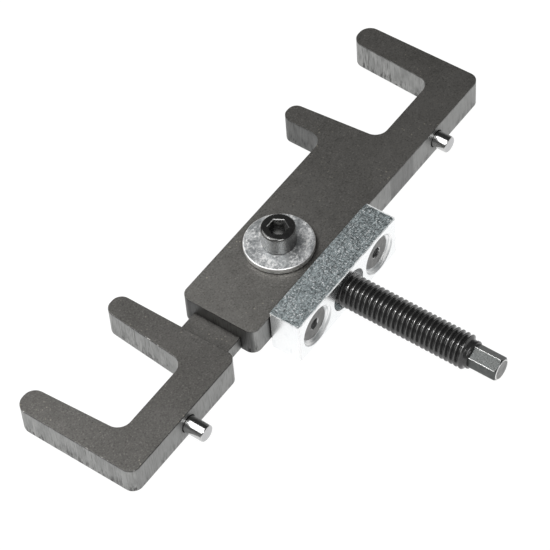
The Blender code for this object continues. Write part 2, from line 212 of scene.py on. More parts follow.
def along_y(bm, x, y, z=AXIS_Z, turn=0.0):
    """Stands a shape built along +Z on a point, with its +Z turned to -Y."""
    lay = Matrix.Rotation(math.pi / 2, 4, "X") @ Matrix.Rotation(turn, 4, "Z")
    bm.transform(Matrix.Translation((x, y, z)) @ lay)
    return bm


# ---------------------------------------------------------------- objects

def smooth_below(mesh, degrees):
    """Shades a mesh smooth but for the edges sharper than an angle."""
    mesh.shade_smooth()
    mesh.set_sharp_from_angle(angle=math.radians(degrees))


def to_object(bm, name, smooth=32.0):
    for v in bm.verts:
        v.co *= MM
    mesh = bpy.data.meshes.new(name)
    bm.to_mesh(mesh)
    bm.free()
    ob = bpy.data.objects.new(name, mesh)
    bpy.context.scene.collection.objects.link(ob)
    smooth_below(mesh, smooth)
    return ob


def bake(ob):
    """Replaces an object's mesh by its evaluated mesh, with no modifiers left."""
    bpy.context.view_layer.update()
    graph = bpy.context.evaluated_depsgraph_get()
    mesh = bpy.data.meshes.new_from_object(ob.evaluated_get(graph), depsgraph=graph)
    mesh.name = ob.name
    ob.modifiers.clear()
    ob.data = mesh


def boolean(ob, bm, operation="DIFFERENCE"):
    """Cuts or joins a shape into an object and keeps only the result."""
    tool = to_object(bm, "tool")
    modifier = ob.modifiers.new("b", "BOOLEAN")
    modifier.operation = operation
    modifier.solver = "EXACT"
    modifier.object = tool
    bake(ob)
    bpy.data.objects.remove(tool, do_unlink=True)


def round_edges(ob, width, segments=3, angle=34.0):
    """Rounds every sharp edge by a real bevel."""
    modifier = ob.modifiers.new("edge", "BEVEL")
    modifier.width = width * MM
    modifier.segments = segments
    modifier.limit_method = "ANGLE"
    modifier.angle_limit = math.radians(angle)
    modifier.use_clamp_overlap = True
    modifier.miter_outer = "MITER_ARC"
    bake(ob)
    bm = bmesh.new()
    bm.from_mesh(ob.data)
    bmesh.ops.remove_doubles(bm, verts=bm.verts, dist=2e-6)
    bmesh.ops.recalc_face_normals(bm, faces=bm.faces)
    bm.to_mesh(ob.data)
    bm.free()
    smooth_below(ob.data, 40.0)


def weight_normals(ob):
    """Keeps flat faces flat next to their rounded edges, so no shading runs across them."""
    modifier = ob.modifiers.new("normals", "WEIGHTED_NORMAL")
    modifier.mode = "FACE_AREA"
    modifier.keep_sharp = True
    modifier.weight = 80
    bake(ob)


def stands_for(ob, node, body, material, flat=True):
    """Hands an object to the frame in place of a CAD piece."""
    if flat:
        weight_normals(ob)
    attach(ob, body)
    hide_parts(node)
    ob.data.materials.clear()
    ob.data.materials.append(material)


# ---------------------------------------------------------------- shader graphs

# Mix node sockets by data type: first input, second input, output.
MIX_SOCKETS = {"FLOAT": (2, 3, 0), "VECTOR": (4, 5, 1), "RGBA": (6, 7, 2)}


def as_colour(value):
    """A colour or a grey value with its alpha; sockets pass unchanged."""
    if isinstance(value, tuple):
        return (*value, 1.0)
    if isinstance(value, float):
        return (value, value, value, 1.0)
    return value


class Graph:
    """Wires the nodes of one tree; inputs take values or other nodes' output sockets."""

    def __init__(self, tree):
        self.tree = tree

    def feed(self, socket, value):
        if isinstance(value, bpy.types.NodeSocket):
            self.tree.links.new(value, socket)
        else:
            socket.default_value = value

    def new(self, kind, inputs=None, **props):
        node = self.tree.nodes.new(kind)
        for key, value in props.items():
            setattr(node, key, value)
        for key, value in (inputs or {}).items():
            self.feed(node.inputs[key], value)
        return node

    def calc(self, operation, *values):
        return self.new("ShaderNodeMath", dict(enumerate(values)), operation=operation).outputs[0]

    def times(self, product, *factors):
        for factor in factors:
            product = self.calc("MULTIPLY", product, factor)
        return product

    def scale(self, value, by):
        return self.times(value, by)

    def linear(self, value, gain, offset):
        return self.calc("MULTIPLY_ADD", value, gain, offset)

    def most(self, a, b):
        return self.calc("MAXIMUM", a, b)

    def size(self, value):
        return self.calc("ABSOLUTE", value)

    def invert(self, value):
        return self.calc("SUBTRACT", 1.0, value)

    def hypot(self, a, b):
        return self.calc("SQRT", self.calc("ADD", self.times(a, a), self.times(b, b)))

    def dot(self, a, b):
        node = self.new("ShaderNodeVectorMath", {0: a, 1: b}, operation="DOT_PRODUCT")
        return node.outputs["Value"]

    def remap(self, value, span, to=(0.0, 1.0), smooth=True):
        """Carries a span of values onto another, holding its ends beyond it."""
        return self.new(
            "ShaderNodeMapRange",
            {"Value": value, "From Min": span[0], "From Max": span[1],
             "To Min": to[0], "To Max": to[1]},
            interpolation_type="SMOOTHSTEP" if smooth else "LINEAR", clamp=True).outputs["Result"]


class Material(Graph):
    """A new material's graph; the seed shifts its textures."""

    def __init__(self, name, seed=0.0):
        self.material = bpy.data.materials.new(name)
        self.material.use_nodes = True
        super().__init__(self.material.node_tree)
        self.output = self.tree.nodes["Material Output"]
        self.bsdf = self.tree.nodes["Principled BSDF"]
        self.seed = seed

    def point(self):
        return self.new("ShaderNodeTexCoord").outputs["Object"]

    def split(self, vector):
        return self.new("ShaderNodeSeparateXYZ", {0: vector}).outputs

    def normal(self):
        """The X, Y and Z of the normal in the object's axes."""
        normal = self.new("ShaderNodeNewGeometry").outputs["Normal"]
        turned_normal = self.new("ShaderNodeVectorTransform", {0: normal}, vector_type="NORMAL",
                                 convert_from="WORLD", convert_to="OBJECT")
        return self.split(turned_normal.outputs[0])

    def coords(self, per_mm, stretch):
        per_metre = 1000.0 * per_mm
        mapping = self.new("ShaderNodeMapping", {
            "Vector": self.point(),
            "Scale": tuple(per_metre * s for s in stretch),
            "Location": (self.seed, self.seed * 0.7, 0.0)})
        return mapping.outputs["Vector"]

    def noise(self, per_mm=1.0, detail=4.0, rough=0.55, stretch=(1, 1, 1), distortion=0.0):
        return self.new("ShaderNodeTexNoise", {
            "Vector": self.coords(per_mm, stretch), "Scale": 1.0, "Detail": detail,
            "Roughness": rough, "Distortion": distortion}).outputs["Fac"]

    def cells(self, per_mm, randomness=1.0):
        """Distance to the nearest of scattered points."""
        return self.new("ShaderNodeTexVoronoi", {
            "Vector": self.coords(per_mm, (1, 1, 1)), "Scale": 1.0,
            "Randomness": randomness}, feature="F1").outputs["Distance"]

    def mix(self, first, toward, by, amount=None, kind="RGBA", blend="MIX"):
        if amount is not None:
            by = self.times(by, amount)
        a, b, out = MIX_SOCKETS[kind]
        return self.new(
            "ShaderNodeMix", {0: by, a: as_colour(first), b: as_colour(toward)},
            data_type=kind, blend_type=blend, clamp_factor=True).outputs[out]

    def tint(self, first, toward, where, span, to=(0.0, 1.0)):
        """Mixes by a value carried from a span onto shares of the second colour."""
        return self.mix(first, toward, by=self.remap(where, span, to))

    def multiply(self, first, second):
        return self.mix(first, second, by=1.0, blend="MULTIPLY")

    def shade(self, colour, *factors):
        factor = self.times(*factors)
        tone = self.new("ShaderNodeCombineColor", {i: factor for i in range(3)})
        return self.multiply(colour, tone.outputs[0])

    def roughness(self, value, to, span=(0.3, 0.7)):
        return self.remap(value, span, to, smooth=False)

    def bump(self, height, strength, depth, normal=None):
        inputs = {"Strength": strength, "Distance": depth * MM, "Height": height}
        if normal is not None:
            inputs["Normal"] = normal
        return self.new("ShaderNodeBump", inputs).outputs["Normal"]

    def occlusion_shade(self, reach, darkest):
        """Painted shade: 1 on open surfaces, down to darkest where another surface is close."""
        node = self.new("ShaderNodeAmbientOcclusion", {"Distance": reach * MM}, samples=6)
        return self.remap(node.outputs["AO"], span=(0.25, 0.92), to=(darkest, 1.0))

    def rim(self, normal, axes="Z"):
        """1 on the rounded edges of faces square to the given axes, 0 on those faces."""
        facing = None
        for axis in axes:
            size = self.size(normal[axis])
            facing = size if facing is None else self.most(facing, size)
        band = self.remap(facing, span=(0.90, 0.985), to=(1.0, 0.0))
        if len(axes) > 1:
            return band
        return self.times(band, self.remap(facing, span=(0.05, 0.16)))

    def edge(self, radius):
        """1 near sharp edges, 0 elsewhere."""
        bevel = self.new("ShaderNodeBevel", {"Radius": radius * MM}, samples=4)
        normal = self.new("ShaderNodeNewGeometry").outputs["Normal"]
        return self.remap(self.invert(self.dot(bevel.outputs[0], normal)), span=(0.02, 0.35))

    def surface(self, colour, roughness, metallic, normal):
        values = {"Base Color": colour, "Roughness": roughness, "Metallic": metallic,
                  "Normal": normal}
        for key, value in values.items():
            self.feed(self.bsdf.inputs[key], value)
        return self.material


# ---------------------------------------------------------------- finishes

def rolled_face(mat, x, level, painted_falloff_level):
    """Colour, roughness and normal of the plates' speckled dark faces."""
    cloud = mat.noise(per_mm=0.03, detail=3, rough=0.6)
    mottle = mat.noise(per_mm=0.22, detail=5, rough=0.65)
    grain = mat.noise(per_mm=1.25, detail=3, rough=0.7)
    colour = mat.tint((0.285, 0.277, 0.260), toward=(0.345, 0.336, 0.318),
                      where=cloud, span=(0.35, 0.65))
    colour = mat.tint(colour, toward=(0.245, 0.237, 0.224),
                      where=mottle, span=(0.38, 0.68), to=(0.0, 0.6))
    colour = mat.tint(colour, toward=(0.17, 0.164, 0.155),
                      where=grain, span=(0.32, 0.50), to=(0.80, 0.0))
    colour = mat.tint(colour, toward=(0.48, 0.465, 0.435),
                      where=grain, span=(0.55, 0.70), to=(0.0, 0.85))
    patches = mat.noise(per_mm=0.08, detail=3, rough=0.6)
    fleck = mat.times(mat.remap(mat.cells(per_mm=0.40), span=(0.05, 0.20), to=(1.0, 0.0)),
                      mat.remap(patches, span=(0.48, 0.62), to=(0.08, 1.0)))
    colour = mat.mix(colour, toward=(0.78, 0.74, 0.62), by=fleck, amount=0.8)
    pit = mat.remap(mat.cells(per_mm=0.24, randomness=0.9), span=(0.03, 0.13), to=(1.0, 0.0))
    colour = mat.mix(colour, toward=(0.10, 0.097, 0.092), by=pit, amount=0.55)
    # painted shade: the faces darken by a given factor towards +X, away from the softbox
    far = mat.remap(x, span=mm(-35, 45), to=(1.0, painted_falloff_level))
    colour = mat.shade(colour, far, level)
    normal = mat.bump(grain, strength=0.30, depth=0.07)
    normal = mat.bump(pit, strength=0.2, depth=0.08, normal=normal)
    return colour, mat.roughness(mottle, to=(0.40, 0.50)), normal


def cut_edge(mat, place, facing, painted_shade_stretches):
    """Colour, roughness and normal of the plates' upright edges, striated along Z."""
    lag = mat.noise(detail=3, rough=0.65, stretch=(0.95, 0.95, 0.075), distortion=0.18)
    lines = mat.noise(detail=2, rough=0.6, stretch=(1.9, 1.9, 0.11), distortion=0.12)
    blotch = mat.noise(detail=3, rough=0.6, stretch=(0.16, 0.16, 0.10))
    skip = mat.noise(detail=3, rough=0.6, stretch=(0.07, 0.07, 0.05))
    colour = mat.tint((0.225, 0.227, 0.222), toward=(0.30, 0.302, 0.296),
                      where=blotch, span=(0.35, 0.65))
    streak = mat.times(mat.remap(lines, span=(0.50, 0.66)),
                       mat.remap(skip, span=(0.36, 0.6), to=(0.35, 0.95)))
    colour = mat.mix(colour, toward=(0.115, 0.115, 0.112), by=streak)
    colour = mat.tint(colour, toward=(0.40, 0.40, 0.392),
                      where=lag, span=(0.52, 0.70), to=(0.0, 0.75))
    # darker in patches towards the lower side of the edges
    low_patches = mat.noise(detail=4, rough=0.7, stretch=(0.55, 0.55, 0.16))
    low_darkening = mat.times(mat.remap(low_patches, span=(0.50, 0.62), to=(0.0, 0.9)),
                       mat.remap(place["Z"], span=mm(PLATE_Z0 + 1.0, PLATE_Z0 + 8.0),
                                 to=(1.0, 0.0)))
    colour = mat.mix(colour, toward=(0.055, 0.055, 0.053), by=low_darkening)
    fade = 1.5    # length over which a dark stretch sets in
    # painted shade: the listed stretches of edge along X are darkened by their factor
    for start, end, factor in painted_shade_stretches:
        stretch = mat.times(
            mat.remap(place["X"], span=mm(start - fade, start)),
            mat.remap(place["X"], span=mm(end, end + fade), to=(1.0, 0.0)))
        colour = mat.mix(colour, toward=mat.multiply(colour, factor), by=stretch)
    # painted light and shade: faces turned to ±Y are pulled halfway to an even mid grey
    colour = mat.tint(colour, toward=(0.235, 0.236, 0.232),
                      where=mat.size(facing["Y"]), span=(0.9, 0.99), to=(0.0, 0.5))
    # painted shade: a dark line right below the top faces
    patches = mat.noise(per_mm=0.25, detail=3, rough=0.6)
    painted_top_line = mat.times(mat.remap(place["Z"], span=mm(PLATE_Z1 - 0.95, PLATE_Z1 - 0.45)),
                         mat.remap(patches, span=(0.35, 0.65), to=(0.45, 0.95)))
    colour = mat.mix(colour, toward=(0.05, 0.049, 0.047), by=painted_top_line)
    normal = mat.bump(lag, strength=0.35, depth=0.16)
    normal = mat.bump(lines, strength=0.30, depth=0.10, normal=normal)
    return colour, mat.roughness(lag, to=(0.36, 0.52)), normal


def plate_steel(name, level, painted_falloff_level, seed, painted_shade_stretches):
    """Black-oxide plate with satin faces, striated edges and worn arrises, with painted shade
    along the arrises and where other surfaces are close.

    level lightens the faces and the far level multiplies that towards +X as painted shade;
    the dark stretches list (x from, x to, factor) of edges darkened as painted shade.
    """
    mat = Material(name, seed)
    facing = mat.normal()
    face = mat.remap(mat.size(facing["Z"]), span=(0.55, 0.85))
    place = mat.split(mat.point())
    face_colour, face_rough, face_normal = rolled_face(mat, place["X"], level, painted_falloff_level)
    cut_colour, cut_rough, cut_normal = cut_edge(mat, place, facing, painted_shade_stretches)
    colour = mat.mix(cut_colour, toward=face_colour, by=face)
    rim = mat.rim(facing)
    # painted shade: a dark line along the rounded arrises
    colour = mat.mix(colour, toward=(0.06, 0.059, 0.057), by=rim, amount=0.9)
    chips = mat.noise(per_mm=0.30, detail=4, rough=0.70)
    worn = mat.times(rim, mat.remap(chips, span=(0.57, 0.64), to=(0.0, 0.85)))
    colour = mat.mix(colour, toward=(0.62, 0.61, 0.59), by=worn)
    metallic = mat.linear(worn, gain=-0.45, offset=0.93)
    # painted shade where another surface is close
    colour = mat.shade(colour, mat.occlusion_shade(reach=5.0, darkest=0.22))
    rough = mat.mix(cut_rough, toward=face_rough, by=face, kind="FLOAT")
    normal = mat.mix(cut_normal, toward=face_normal, by=face, kind="VECTOR")
    return mat.surface(colour, rough, metallic, normal)


def turning_rings(mat, radius, x, z):
    """Noise that varies quickly outwards and slowly round the countersinks' axes."""
    vector = mat.new("ShaderNodeCombineXYZ", {
        0: mat.scale(radius, by=1000.0), 1: mat.scale(x, by=60.0), 2: mat.scale(z, by=60.0)})
    return mat.new("ShaderNodeTexNoise", {
        "Scale": 1.7, "Detail": 2.0, "Vector": vector.outputs[0]}).outputs["Fac"]


def zinc_block_finish():
    """Zinc-plated block: crossed marks square to Z with painted sparkle, painted highlights on its
    rounded edges, turned rings in the countersinks.
    """
    mat = Material("zinc_block")
    facing = mat.normal()
    top = mat.remap(mat.size(facing["Z"]), span=(0.6, 0.9))
    weave_y = mat.noise(detail=2, rough=0.6, stretch=(0.55, 2.6, 1.4))
    weave_x = mat.noise(detail=2, rough=0.6, stretch=(2.6, 0.55, 1.4))
    weave = mat.scale(mat.calc("ADD", weave_y, weave_x), by=0.5)
    fine = mat.noise(per_mm=2.1, detail=2, rough=0.6)
    fleck = mat.remap(fine, span=(0.56, 0.68))
    cloud = mat.noise(per_mm=0.07, detail=3, rough=0.6)
    woven = mat.tint((0.34, 0.395, 0.41), toward=(0.64, 0.725, 0.74),
                     where=weave, span=(0.40, 0.60))
    woven = mat.tint(woven, toward=(0.55, 0.63, 0.65),
                     where=cloud, span=(0.4, 0.7), to=(0.0, 0.35))
    woven = mat.mix(woven, toward=(1.0, 1.0, 1.0), by=fleck, amount=0.9)

    # upright faces and countersinks
    plain = mat.mix((0.90, 0.915, 0.925), toward=(0.95, 0.96, 0.96), by=cloud)
    scratch = mat.noise(detail=3, rough=0.65, stretch=(0.5, 0.2, 0.09))
    plain = mat.tint(plain, toward=(0.72, 0.74, 0.76),
                     where=scratch, span=(0.56, 0.74), to=(0.0, 0.45))
    place = mat.split(mat.point())
    from_sink_x = mat.calc("SUBTRACT", mat.size(place["X"]), SCREW_RIGHT.mid.x * MM)
    from_axis_z = mat.calc("SUBTRACT", place["Z"], AXIS_Z * MM)
    radius = mat.hypot(from_sink_x, from_axis_z)
    rings = turning_rings(mat, radius, from_sink_x, from_axis_z)
    sink = mat.times(mat.remap(radius, span=mm(10.3, 10.9), to=(1.0, 0.0)),
                     mat.remap(mat.size(facing["Y"]), span=(0.80, 0.95), to=(1.0, 0.0)))
    cone = mat.tint((0.66, 0.675, 0.68), toward=(1.0, 1.0, 1.0), where=rings, span=(0.40, 0.60))
    plain = mat.mix(plain, toward=cone, by=sink)

    # painted sparkle, then painted highlights on the edges
    patches = mat.noise(per_mm=0.22, detail=3, rough=0.6)
    painted_sparkle = mat.times(mat.remap(mat.cells(per_mm=0.80), span=(0.16, 0.36), to=(1.0, 0.0)),
                      mat.remap(patches, span=(0.42, 0.60), to=(0.35, 1.0)), top)
    end_x, end_y = BLOCK.hi.x, BLOCK.lo.y
    arris_highlight = mat.most(
        mat.remap(mat.size(place["X"]), span=mm(end_x - 0.80, end_x - 0.35)),
        mat.remap(place["Y"], span=mm(end_y + 0.35, end_y + 0.85), to=(1.0, 0.0)))
    rubbed = mat.noise(per_mm=0.3, detail=3, rough=0.6)
    arris_highlight = mat.times(arris_highlight, top, mat.remap(rubbed, span=(0.35, 0.6), to=(0.55, 1.0)))
    colour = mat.mix(plain, toward=woven, by=top)
    # walls of the opening round the spindle
    inside = mat.times(
        mat.remap(mat.size(place["X"]), span=mm(11.0, 11.5), to=(1.0, 0.0)),
        mat.remap(mat.size(from_axis_z), span=mm(8.9, 9.3), to=(1.0, 0.0)),
        mat.remap(mat.size(facing["Y"]), span=(0.5, 0.8), to=(1.0, 0.0)))
    rim = mat.times(mat.rim(facing, "XYZ"), mat.invert(mat.most(inside, sink)))
    rim = mat.most(rim, arris_highlight)
    # painted highlights: white sparkle on the top
    colour = mat.mix(colour, toward=(1.0, 1.0, 1.0), by=painted_sparkle, amount=0.8)
    # painted highlight along the rounded edges
    colour = mat.mix(colour, toward=(0.97, 0.98, 0.98), by=rim)
    dull = mat.most(mat.scale(rim, by=0.75), mat.scale(inside, by=0.85))
    metallic = mat.invert(mat.most(dull, mat.scale(painted_sparkle, by=0.5)))
    rough_top = mat.roughness(mat.calc("ADD", weave, mat.scale(fleck, by=0.12)),
                              span=(0.38, 0.68), to=(0.32, 0.62))
    rough_side = mat.linear(sink, gain=0.22, offset=0.26)
    rough = mat.mix(rough_side, toward=rough_top, by=top, kind="FLOAT")
    normal = mat.bump(weave, strength=mat.linear(top, gain=0.85, offset=0.04), depth=0.085)
    normal = mat.bump(fine, strength=mat.linear(top, gain=0.8, offset=0.03), depth=0.04,
                      normal=normal)
    return mat.surface(colour, rough, metallic, normal)


def zinc_washer_finish():
    """Dull zinc plating, cloudy with light scuffs, with a painted highlight on its rounded rim and
    painted shade on its side.
    """
    mat = Material("zinc_washer")
    cloud = mat.noise(per_mm=0.13, detail=4, rough=0.62)
    scuff = mat.noise(per_mm=0.55, detail=5, rough=0.72, distortion=0.5)
    fine = mat.noise(per_mm=0.85, detail=3, rough=0.68)
    colour = mat.tint((0.60, 0.625, 0.64), toward=(0.86, 0.88, 0.885),
                      where=cloud, span=(0.38, 0.62))
    colour = mat.tint(colour, toward=(0.36, 0.38, 0.39),
                      where=fine, span=(0.34, 0.46), to=(0.50, 0.0))
    smear = mat.noise(detail=5, rough=0.75, stretch=(0.34, 0.85, 0.5), distortion=0.9)
    bright = mat.most(mat.remap(smear, span=(0.53, 0.58)), mat.remap(fine, span=(0.565, 0.60)))
    bright = mat.times(bright, mat.remap(cloud, span=(0.36, 0.56), to=(0.35, 1.0)))
    colour = mat.mix(colour, toward=(1.0, 1.0, 0.99), by=bright)
    colour = mat.tint(colour, toward=(0.34, 0.36, 0.37),
                      where=scuff, span=(0.60, 0.70), to=(0.0, 0.5))
    facing = mat.normal()
    # painted highlight on the rounded rim
    colour = mat.mix(colour, toward=(1.0, 1.0, 0.99), by=mat.rim(facing))
    # painted shade on the upright side
    colour = mat.tint(colour, toward=(0.50, 0.50, 0.49),
                      where=mat.size(facing["Z"]), span=(0.05, 0.2), to=(1.0, 0.0))
    rough = mat.roughness(mat.calc("ADD", cloud, mat.scale(fine, by=0.5)),
                          span=(0.55, 0.95), to=(0.34, 0.54))
    normal = mat.bump(scuff, strength=0.35, depth=0.10)
    normal = mat.bump(fine, strength=0.35, depth=0.06, normal=normal)
    return mat.surface(colour, rough, mat.linear(bright, gain=-0.50, offset=0.90), normal)


def cap_screw_finish():
    """Glossy black oxide, rubbed bright on its edges, with painted highlights on the floor of its
    socket and on one side of its lead-in.
    """
    base = (0.116, 0.116, 0.114)
    worn = (0.70, 0.70, 0.70)
    top_z = CAP_HEAD_Z + CAP_HEAD_HEIGHT
    floor_z = top_z - CAP_SOCKET_DEPTH
    mat = Material("cap_screw_oxide")
    cloud = mat.noise(per_mm=0.4, detail=4, rough=0.6)
    fine = mat.noise(per_mm=2.4, detail=3, rough=0.6)
    fleck = mat.remap(mat.noise(per_mm=1.5, detail=2, rough=0.6), span=(0.66, 0.76))
    colour = mat.mix(base, toward=tuple(c * 1.35 for c in base), by=cloud)
    top = mat.remap(mat.normal()["Z"], span=(0.6, 0.9))
    colour = mat.mix(colour, toward=worn,
                     by=mat.times(fleck, mat.linear(top, gain=0.45, offset=0.05)))
    mottle = mat.noise(per_mm=0.7, detail=4, rough=0.65)
    mottle = mat.times(mat.remap(mottle, span=(0.45, 0.65), to=(0.0, 0.4)), top)
    colour = mat.mix(colour, toward=tuple(c * 0.5 for c in base), by=mottle)
    rubbed = mat.noise(per_mm=0.6, detail=4, rough=0.6)
    edge = mat.times(mat.edge(radius=0.28),
                     mat.remap(rubbed, span=(0.35, 0.65), to=(0.25, 1.0)))
    colour = mat.mix(colour, toward=worn, by=edge, amount=0.8)

    point = mat.point()
    z = mat.split(point)["Z"]
    flat = mat.new("ShaderNodeVectorMath", {0: point, 1: (1, 1, 0)}, operation="MULTIPLY")
    axis = (CLAMP.x * MM, CLAMP.y * MM, 0)
    radius = mat.new("ShaderNodeVectorMath", {0: flat.outputs[0], 1: axis},
                     operation="DISTANCE").outputs["Value"]
    # painted highlight on the floor of the socket
    socket_floor_highlight = mat.times(mat.remap(z, span=mm(floor_z + 0.2, floor_z + 0.5), to=(1.0, 0.0)),
                       mat.remap(radius, span=mm(0.9, 3.2), to=(1.0, 0.0)))
    colour = mat.mix(colour, toward=(0.62, 0.62, 0.61), by=socket_floor_highlight)
    # painted highlight on the part of the socket's lead-in that faces -X and -Y
    upward = mat.normal()["Z"]
    facing = mat.normal()
    side = mat.calc("ADD", mat.scale(facing["X"], by=0.77), mat.scale(facing["Y"], by=0.64))
    lead = mat.times(mat.remap(z, span=mm(top_z - 0.34, top_z - 0.26)),
                     mat.remap(radius, span=mm(5.1, 5.3), to=(1.0, 0.0)),
                     mat.remap(upward, span=(0.85, 0.95), to=(1.0, 0.0)),
                     mat.remap(side, span=(-0.55, -0.30), to=(1.0, 0.1)))
    colour = mat.mix(colour, toward=(0.85, 0.85, 0.84), by=lead)
    rough = mat.linear(socket_floor_highlight, gain=0.12, offset=mat.roughness(cloud, to=(0.13, 0.20)))
    return mat.surface(colour, rough, metallic=mat.linear(lead, gain=-0.6, offset=0.9),
                       normal=mat.bump(fine, strength=0.06, depth=0.02))


def block_screw_finish():
    """Grey worn faces towards -Y, darker glossy sides and sockets."""
    mat = Material("block_screw_finish")
    cloud = mat.noise(per_mm=0.3, detail=4, rough=0.6)
    fine = mat.noise(per_mm=2.0, detail=3, rough=0.6)
    face = mat.tint((0.15, 0.15, 0.148), toward=(0.225, 0.225, 0.22),
                    where=cloud, span=(0.35, 0.65))
    face = mat.tint(face, toward=(0.10, 0.10, 0.10), where=fine, span=(0.5, 0.7), to=(0.0, 0.5))
    face = mat.mix(face, toward=(0.75, 0.75, 0.74), by=mat.edge(radius=0.25), amount=0.8)
    front = mat.remap(mat.normal()["Y"], span=(-0.95, -0.75), to=(1.0, 0.0))
    head_y = SCREW_LEFT.lo.y
    deep = mat.remap(mat.split(mat.point())["Y"], span=mm(head_y + 0.1, head_y + 0.5))
    hidden = mat.most(deep, mat.invert(front))
    colour = mat.mix(face, toward=(0.46, 0.46, 0.46), by=hidden)
    rough = mat.linear(hidden, gain=-0.32, offset=mat.roughness(cloud, to=(0.40, 0.5)))
    return mat.surface(colour, rough, metallic=0.9,
                       normal=mat.bump(fine, strength=0.15, depth=0.03))


def spindle_radius(mat, place):
    """Distance from the spindle's axis."""
    return mat.hypot(place["X"], mat.calc("SUBTRACT", place["Z"], AXIS_Z * MM))


def thread_finish():
    """Black thread with rubbed crests."""
    mat = Material("spindle_finish")
    crest = mat.remap(spindle_radius(mat, mat.split(mat.point())), span=mm(7.5, 7.95))
    cloud = mat.noise(per_mm=0.5, detail=4, rough=0.6)
    fine = mat.noise(per_mm=2.2, detail=3, rough=0.65)
    black = mat.mix((0.046, 0.046, 0.047), toward=(0.076, 0.075, 0.074), by=cloud)
    rubbed = mat.noise(per_mm=0.9, detail=4, rough=0.65)
    rubbed = mat.times(crest, mat.remap(rubbed, span=(0.32, 0.66), to=(0.25, 1.0)))
    colour = mat.mix(black, toward=(0.105, 0.105, 0.103), by=rubbed)
    return mat.surface(colour, mat.roughness(cloud, to=(0.15, 0.22)), metallic=0.62,
                       normal=mat.bump(fine, strength=0.10, depth=0.025))


def hexagon_finish():
    """Matt grey hexagon with bright worn corners, a painted highlight round the edge of its free
    end, and painted light on faces that look down.
    """
    mat = Material("hexagon_steel")
    cloud = mat.noise(per_mm=0.4, detail=4, rough=0.6)
    fine = mat.noise(per_mm=1.7, detail=3, rough=0.65)
    lines = mat.noise(detail=3, rough=0.7, stretch=(2.6, 0.25, 2.6))
    grey = mat.tint((0.062, 0.066, 0.065), toward=(0.090, 0.094, 0.092),
                    where=cloud, span=(0.35, 0.65))
    grey = mat.tint(grey, toward=(0.055, 0.055, 0.055),
                    where=fine, span=(0.5, 0.72), to=(0.0, 0.5))
    grey = mat.tint(grey, toward=(0.15, 0.15, 0.148),
                    where=lines, span=(0.55, 0.72), to=(0.0, 0.4))
    end_grey = mat.tint((0.12, 0.12, 0.118), toward=(0.20, 0.20, 0.197),
                        where=cloud, span=(0.35, 0.65))
    grey = mat.tint(grey, toward=end_grey,
                    where=mat.normal()["Y"], span=(-0.97, -0.9), to=(1.0, 0.0))
    # painted light: faces that look down are made lighter
    grey = mat.shade(grey, mat.remap(mat.normal()["Z"], span=(-0.1, 0.4), to=(1.35, 1.0)))
    place = mat.split(mat.point())
    radius = spindle_radius(mat, place)
    corner = mat.remap(radius, span=mm(5.63, 5.72), to=(0.0, 0.6))
    end_y = SPINDLE.lo.y
    # painted highlight round the edge of the free end; the corners are worn bright
    lip = mat.times(mat.remap(place["Y"], span=mm(end_y + 0.12, end_y + 0.26), to=(1.0, 0.0)),
                    mat.remap(radius, span=mm(4.35, 4.6)))
    rubbed = mat.noise(per_mm=0.7, detail=3, rough=0.6)
    worn = mat.times(mat.most(corner, lip),
                     mat.remap(rubbed, span=(0.3, 0.6), to=(0.55, 1.0)))
    colour = mat.mix(grey, toward=(0.92, 0.92, 0.91), by=worn)
    return mat.surface(colour, mat.roughness(cloud, to=(0.36, 0.48)),
                       metallic=mat.linear(worn, gain=-0.55, offset=0.95),
                       normal=mat.bump(lines, strength=0.15, depth=0.03))


def ground_pin_finish():
    """Polished pin with faint grinding lines round it."""
    mat = Material("ground_pin")
    rings = mat.noise(detail=3, rough=0.7, stretch=(0.15, 6.0, 0.15))
    cloud = mat.noise(per_mm=0.3, detail=3, rough=0.6)
    colour = mat.tint((0.52, 0.52, 0.52), toward=(0.60, 0.60, 0.595),
                      where=rings, span=(0.3, 0.7))
    colour = mat.tint(colour, toward=(0.6, 0.6, 0.59),
                      where=cloud, span=(0.55, 0.75), to=(0.0, 0.3))
    end_colour = mat.mix((0.42, 0.42, 0.425), toward=(0.50, 0.50, 0.505), by=cloud)
    colour = mat.tint(colour, toward=end_colour,
                      where=mat.size(mat.normal()["Y"]), span=(0.9, 0.98))
    return mat.surface(colour, mat.roughness(rings, to=(0.10, 0.20)), metallic=1.0,
                       normal=mat.bump(rings, strength=0.06, depth=0.02))


def nut_finish():
    """Milled bright steel, lifted by a painted glow, standing in for bounced light, that fades
    towards +X on faces turned to -Y.
    """
    mat = Material("steel_nut")
    lines = mat.noise(detail=3, rough=0.7, stretch=(0.2, 3.0, 3.0))
    cloud = mat.noise(per_mm=0.3, detail=3, rough=0.6)
    colour = mat.tint((0.86, 0.87, 0.88), toward=(0.96, 0.965, 0.97),
                      where=lines, span=(0.3, 0.7))
    colour = mat.tint(colour, toward=(0.75, 0.75, 0.75),
                      where=cloud, span=(0.5, 0.75), to=(0.0, 0.4))
    colour = mat.mix(colour, toward=(0.95, 0.95, 0.95), by=mat.edge(radius=0.4), amount=0.6)
    # painted light: the nut glows, standing in for light bounced into the block's opening
    mat.feed(mat.bsdf.inputs["Emission Color"], colour)
    x = mat.split(mat.point())["X"]
    glow = mat.times(
        mat.remap(x, span=mm(-8.0, 8.0), to=(0.62, 0.10), smooth=False),
        mat.remap(mat.normal()["Y"], span=(-0.9, -0.6), to=(1.0, 0.0)))
    mat.feed(mat.bsdf.inputs["Emission Strength"], glow)
    return mat.surface(colour, mat.roughness(lines, to=(0.45, 0.6)), metallic=1.0,
                       normal=mat.bump(lines, strength=0.15, depth=0.04))


# ---------------------------------------------------------------- plates

